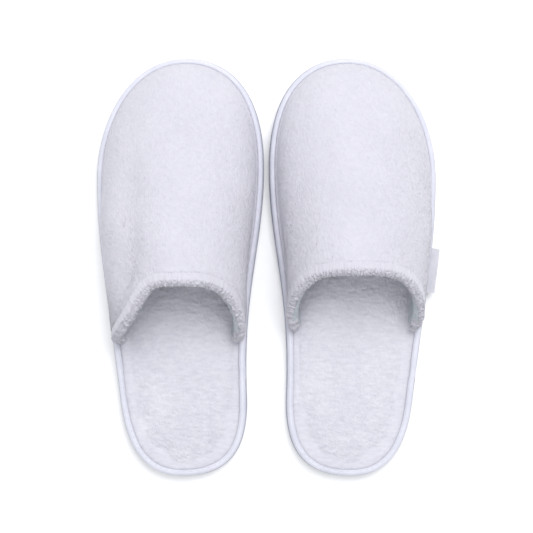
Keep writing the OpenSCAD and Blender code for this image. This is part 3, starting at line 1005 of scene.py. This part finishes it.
def seam_margin(grid, normals):
    """Rows that take the terry's edge down under the binding and out to its wall."""
    edge = (grid[:, 0] - (WALL_IN + CLEAR - SEAM_IN) * normals[:, 0])[:, :2]
    foot = edge * 0.4 + grid[:, 0, :2] * 0.6
    rows = ((edge, MARGIN_T), (edge, 0.3), (edge, CLEAR), (foot, CLEAR))
    return np.stack([np.c_[plan, np.full(len(plan), COVER_TOP - down)] for plan, down in rows], axis=1)


def vamp_terry(side, grid, normals, seed):
    """Plush outer cloth of the upper, with its seam margin under the binding."""
    face = np.concatenate([seam_margin(grid, normals), terry_pile(grid, normals, seed)], axis=1)
    back = (grid - TERRY_T * normals)[::COARSE, ::COARSE]
    foot = back[:, :1].copy()
    foot[..., 2] = COVER_TOP - MARGIN_T
    points, faces = shell(face, np.concatenate([foot, back], axis=1))
    terry = piece(f"{side}_vamp_terry", side, points, faces, UPPER_TERRY)
    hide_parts(f"{side}_upper_terry")
    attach(terry, f"{side}_front")


def vamp_backings(side, coarse, outwards, seed):
    """Foam interlining and lining, parallel to the terry. The lining turns out round the hem."""
    for name, node, slot, look, near, far in BACKINGS:
        near_face, far_face = coarse - near * outwards, coarse - far * outwards
        if name == "vamp_lining":
            far_face = far_face - LINING_UNEVEN * noise(coarse, 5, seed + 9)[..., None] * outwards
            near_edge, far_edge = lining_edge(side)
            near_face = np.concatenate([near_face[:, :-1], near_edge], axis=1)
            far_face = np.concatenate([far_face[:, :-1], far_edge], axis=1)
        points, faces = shell(near_face, far_face)
        ob = piece(f"{side}_{name}", side, points, faces, look)
        soften(ob, math.radians(60))
        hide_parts(f"{side}_{node}")
        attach(ob, f"{side}_front")


def upper(side, seed):
    """The upper's three cloths. Gives the terry's face on the coarse grid and the directions out of it."""
    grid = upper_grid(side, TERRY_COLUMNS, TERRY_ROWS)
    grid = dented(side, grid, upper_normals(side, grid), seed)
    normals = upper_normals(side, grid)
    vamp_terry(side, grid, normals, seed)
    coarse, outwards = grid[::COARSE, ::COARSE], normals[::COARSE, ::COARSE]
    vamp_backings(side, coarse, outwards, seed)
    return coarse, outwards


def hem_stitches(side, coarse, outwards):
    """Stitches on the lining, a little inside the opening."""
    row = coarse[:, HEM_ROW] - (UPPER_T + 0.2) * outwards[:, HEM_ROW]
    at = along(row)
    count = int(at[-1] / STITCH_PITCH)
    middles = (np.arange(count) + 0.5) * at[-1] / count
    lines = [place_on(row, at, s + [-HEM_STITCH_HALF, HEM_STITCH_HALF]) for s in middles[1:-1]]
    ob = threads(f"{side}_hem_thread", side, lines, HEM_THREAD_R, stations=7)
    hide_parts(f"{side}_hem_stitches")
    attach(ob, f"{side}_front")


# ---------- Rolled hem ----------
ROLL_STATIONS = 620
ROLL_AROUND = 72
ROLL_OVERLAP = 1.3
ROLL_HALF = 3.05
ROLL_MEETS = 2.45
ROLL_TAPER = 0.045
TIP_RUN = 7.0
SMOOTHED = 31
TUFT = 1.1
TUFT_LEAN = 0.12
NAP = 0.55


def hem_line(side):
    """Even stations along the hem from wing to wing: middle, running length, direction towards the
    upper and direction outwards."""
    hem = Hem(side)
    angle = np.linspace(3, 177, 700)
    path, normal = hem.middle(angle), hem.normal(angle)
    feet = []
    for wing in (0, 180):
        x, y = hem.plan(wing)
        feet.append([float(x), float(y) - WING_ROLL_R / 2, COVER_TOP + WING_ROLL_R - 0.2])
    path = np.vstack([feet[:1], path, feet[1:]])
    normal = np.vstack([normal[:1], normal, normal[-1:]])
    lengths = along(path)
    at = np.linspace(0, lengths[-1], ROLL_STATIONS)
    path, normal = place_on(path, lengths, at), place_on(normal, lengths, at)
    padded = np.pad(normal, ((SMOOTHED // 2, SMOOTHED // 2), (0, 0)), mode="edge")
    spread = np.ones(SMOOTHED) / SMOOTHED
    normal = unit(np.stack([np.convolve(column, spread, mode="valid") for column in padded.T], axis=1))
    run = unit(np.gradient(path, axis=0))
    back = unit(np.cross(run, normal))
    return path, at, back, np.cross(back, run)


def roll_section(radius, turn):
    """Section of the roll, as distances towards the upper and outwards: round on its free side, and
    squared where it laps over the upper."""
    laps = np.cos(turn) > 0
    power = 1 / (1 + 5 * laps)
    over = np.sign(np.cos(turn)) * np.abs(np.cos(turn)) ** power
    out = np.sign(np.sin(turn)) * np.abs(np.sin(turn)) ** power
    tall = np.maximum(0.82 * radius, ROLL_HALF)
    high = out * tall - (out > 0) * laps * (tall - ROLL_MEETS) * over**2
    return over * (radius + laps * ROLL_OVERLAP), high


def topline_roll(side, seed):
    """Plush rolled hem: it runs up from one wing, over the crest and down to the other wing."""
    path, at, back, normal = hem_line(side)
    from_end = np.minimum(at, at[-1] - at)[:, None]
    radius = np.minimum(ROLL_R, WING_ROLL_R + from_end * ROLL_TAPER)
    dome = np.sqrt(np.clip(1 - (1 - from_end / TIP_RUN) ** 2, 0.03, 1))
    tip = np.where(from_end < TIP_RUN, dome, 1)
    turn = 2 * np.pi * np.arange(ROLL_AROUND)[None, :] / ROLL_AROUND
    to_upper, free = np.maximum(0, np.cos(turn)), np.maximum(0, -np.cos(turn))
    over, out = roll_section(radius, turn)
    ring = over[..., None] * back[:, None] + out[..., None] * normal[:, None]
    body = path[:, None] + ring * tip[..., None]
    rng = np.random.default_rng(seed)
    lumps = 0.1 * noise(body, 4.5, seed) + 0.06
    arc = turn * radius
    strand = np.stack([np.broadcast_to(at[:, None], arc.shape), arc / 2.2, np.zeros_like(arc)], axis=-1)
    parting = np.exp(-((noise(strand, 1.0, seed + 1) / 0.26) ** 2))
    uneven = noise(strand * [1.9, 0.6, 1], 1.0, seed + 2)
    tuft = TUFT * (0.5 * rng.random(arc.shape) ** 2 + 0.7 * (1 - parting) + 0.4 * uneven)
    loose = 0.1 + 0.9 * smoothstep(free * 1.5 + 0.3 * (1 - to_upper))
    nap = NAP * (1 - loose) * rng.random(loose.shape) ** 2
    lean = rng.normal(0, TUFT_LEAN, body.shape)
    grown = (lumps + nap + tuft * loose)[..., None] * unit(ring) + lean * loose[..., None]
    body = body + grown * tip[..., None]
    faces = sleeve_faces(ROLL_STATIONS, ROLL_AROUND)
    ob = piece(f"{side}_plush_topline", side, body, faces, HEM_TERRY)
    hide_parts(f"{side}_topline_roll")
    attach(ob, f"{side}_front")


# ---------- Size label ----------
RIBBON_T = 0.24
LABEL_GAP = 0.12
LABEL_SPLAY = 0.2
LABEL_TUCK = 0.6
LABEL_ROW_OUT = 2.2
LABEL_STITCH_HALF = 1.3
LABEL_THREAD_R = 0.22
LABEL_THREAD_SINK = 0.35
LABEL_PLIES = 13
LABEL_STATIONS = 61


def label_place():
    """The label's root, the directions along its seam and outwards, its length and its reach."""
    joint = next(j for j in frame["joints"] if j["name"] == "right_label_fold")
    root = np.array(joint["pos_m"]) / MM
    run = -np.array(joint["axis"])
    out = np.array([run[1], -run[0], 0])
    low, high = lowest("right_size_label"), highest("right_size_label")
    return root, run, out, (high - low)[1] / run[1] - 0.6, (high - root) @ out - 0.25


def ply_gap(t):
    """Gap between the two plies at a share of the way from the seam to the fold."""
    return LABEL_GAP + LABEL_SPLAY * np.sin(0.9 * np.pi * t)


def ribbon_section(reach):
    """Outer and inner face of the folded ribbon, as (outwards, up) pairs over the fold and back."""
    t = np.linspace(0, 1, LABEL_PLIES)
    ply = np.stack([(reach + LABEL_TUCK) * t - LABEL_TUCK, ply_gap(t) / 2 + RIBBON_T], axis=1)
    bend = np.radians(np.linspace(90, -90, 9)[1:-1])
    fold = ply[-1, 1] * np.stack([np.cos(bend), np.sin(bend)], axis=1) + [reach, 0]
    outside = np.vstack([ply, fold, (ply * [1, -1])[::-1]])
    turn = unit(np.gradient(outside, axis=0))
    return outside, outside - RIBBON_T * np.stack([-turn[:, 1], turn[:, 0]], axis=1)


def size_label():
    """A blank woven ribbon folded double: two plies from the side seam to a soft fold."""
    root, run, out, length, reach = label_place()
    outside, inside = ribbon_section(reach)
    section = np.vstack([outside, inside[::-1]])
    share = section[:, 0] / reach
    s = np.linspace(-0.5, 0.5, LABEL_STATIONS)
    wave = 0.18 * np.sin(2 * np.pi * s * 1.3 + 0.7) + 0.1 * noise(np.c_[s * 40, s * 0, s * 0], 6, 5)
    at = s[:, None] * length * (1 - 0.02 * share)
    up = section[:, 1] + wave[:, None] * np.clip(share, 0, 2) ** 2
    points = root + at[..., None] * run + section[:, :1] * out + up[..., None] * [0, 0, 1]
    count = len(section)
    faces = grid_faces(LABEL_STATIONS, count, close_columns=True)
    for first in (0, (LABEL_STATIONS - 1) * count):
        last = first + count - 1
        faces += [[first + k, first + k + 1, last - k - 1, last - k] for k in range(count // 2 - 1)]
    ob = piece("right_ribbon_tab", "right", points - [PLACE_X["right"], 0, 0], faces, RIBBON)
    soften(ob)
    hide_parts("right_size_label")
    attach(ob, "right_label")
    width = along((outside + inside) / 2)[-1]


def label_stitches():
    """Stitches through the ribbon, near its root."""
    root, run, out, length = label_place()[:4]
    count = int(length / STITCH_PITCH)
    first = root + LABEL_ROW_OUT * out - [PLACE_X["right"], 0, -(RIBBON_T + ply_gap(1 / 3) / 2 + 0.12)]
    middles = [first + (i + 0.5 - count / 2) * STITCH_PITCH * run for i in range(count)]
    lines = [(middle - LABEL_STITCH_HALF * run, middle + LABEL_STITCH_HALF * run) for middle in middles]
    thread = threads("right_label_thread", "right", lines, LABEL_THREAD_R, LABEL_THREAD_SINK)
    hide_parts("right_label_stitches")
    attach(thread, "right_label")


# ---------- Camera, light and floor ----------
# All in metres
CAMERA_HEIGHT = 1.3
VIEW_WIDTH = 0.3559
VIEW_CENTRE = (-0.0012, 0.0006)
FLOOR_HALF = 3.0
FLOOR_WHITES = ((0.93, 0.93, 0.935), (0.95, 0.95, 0.95))
# Square lamps: place, size and power in watts
LAMPS = {"key": ((0.45, 1.0, 1.9), 1.4, 34), "fill": ((-0.9, -0.9, 2.0), 1.8, 8)}
SKY = (0.97, 0.985, 1.0, 1)
SKY_STRENGTH = 0.83


def studio_floor():
    """A plain white floor."""
    floor = in_scene("floor", bpy.data.meshes.new("floor"))
    corners = [(x * FLOOR_HALF, y * FLOOR_HALF, 0) for x, y in ((-1, -1), (1, -1), (1, 1), (-1, 1))]
    floor.data.from_pydata(corners, [], [(0, 1, 2, 3)])
    look = Look("studio_floor", Roughness=0.9, Specular_IOR_Level=0.1)
    look.colour(look.noise(300, 2), *FLOOR_WHITES)
    floor.data.materials.append(look.material)


def studio_light():
    """A broad soft light from the right and ahead, a weak one from behind, and an even white sky."""
    for name, (place, size, power) in LAMPS.items():
        lamp = bpy.data.lights.new(name, "AREA")
        lamp.shape, lamp.size, lamp.energy = "SQUARE", size, power
        ob = in_scene(name, lamp)
        ob.location = place
        ob.rotation_euler = (-Vector(place)).to_track_quat("-Z", "Y").to_euler()
    world = bpy.data.worlds.new("studio")
    world.use_nodes = True
    sky = world.node_tree.nodes["Background"].inputs
    sky["Color"].default_value = SKY
    sky["Strength"].default_value = SKY_STRENGTH
    bpy.context.scene.world = world


def studio_camera():
    """A camera straight above the pair, with the toes at the top of the picture."""
    camera = bpy.data.cameras.new("overhead")
    camera.angle = 2 * math.atan(VIEW_WIDTH / 2 / (CAMERA_HEIGHT - COVER_TOP * MM))
    eye = in_scene("overhead", camera)
    eye.location = (*VIEW_CENTRE, CAMERA_HEIGHT)
    bpy.context.scene.camera = eye
    bpy.context.scene.view_settings.view_transform = "Standard"


studio_floor()
studio_light()
studio_camera()
crown = pad_crown()
for number, side in enumerate(SIDES):
    seed = 100 * (number + 1)
    outsole(side)
    inner_layers(side)
    insole_cover(side, crown, seed)
    edge_binding(side, seed + 10)
    binding_stitches(side)
    coarse, outwards = upper(side, seed + 20)
    topline_roll(side, seed + 40)
    hem_stitches(side, coarse, outwards)

size_label()
label_stitches()

bpy.context.view_layer.update()
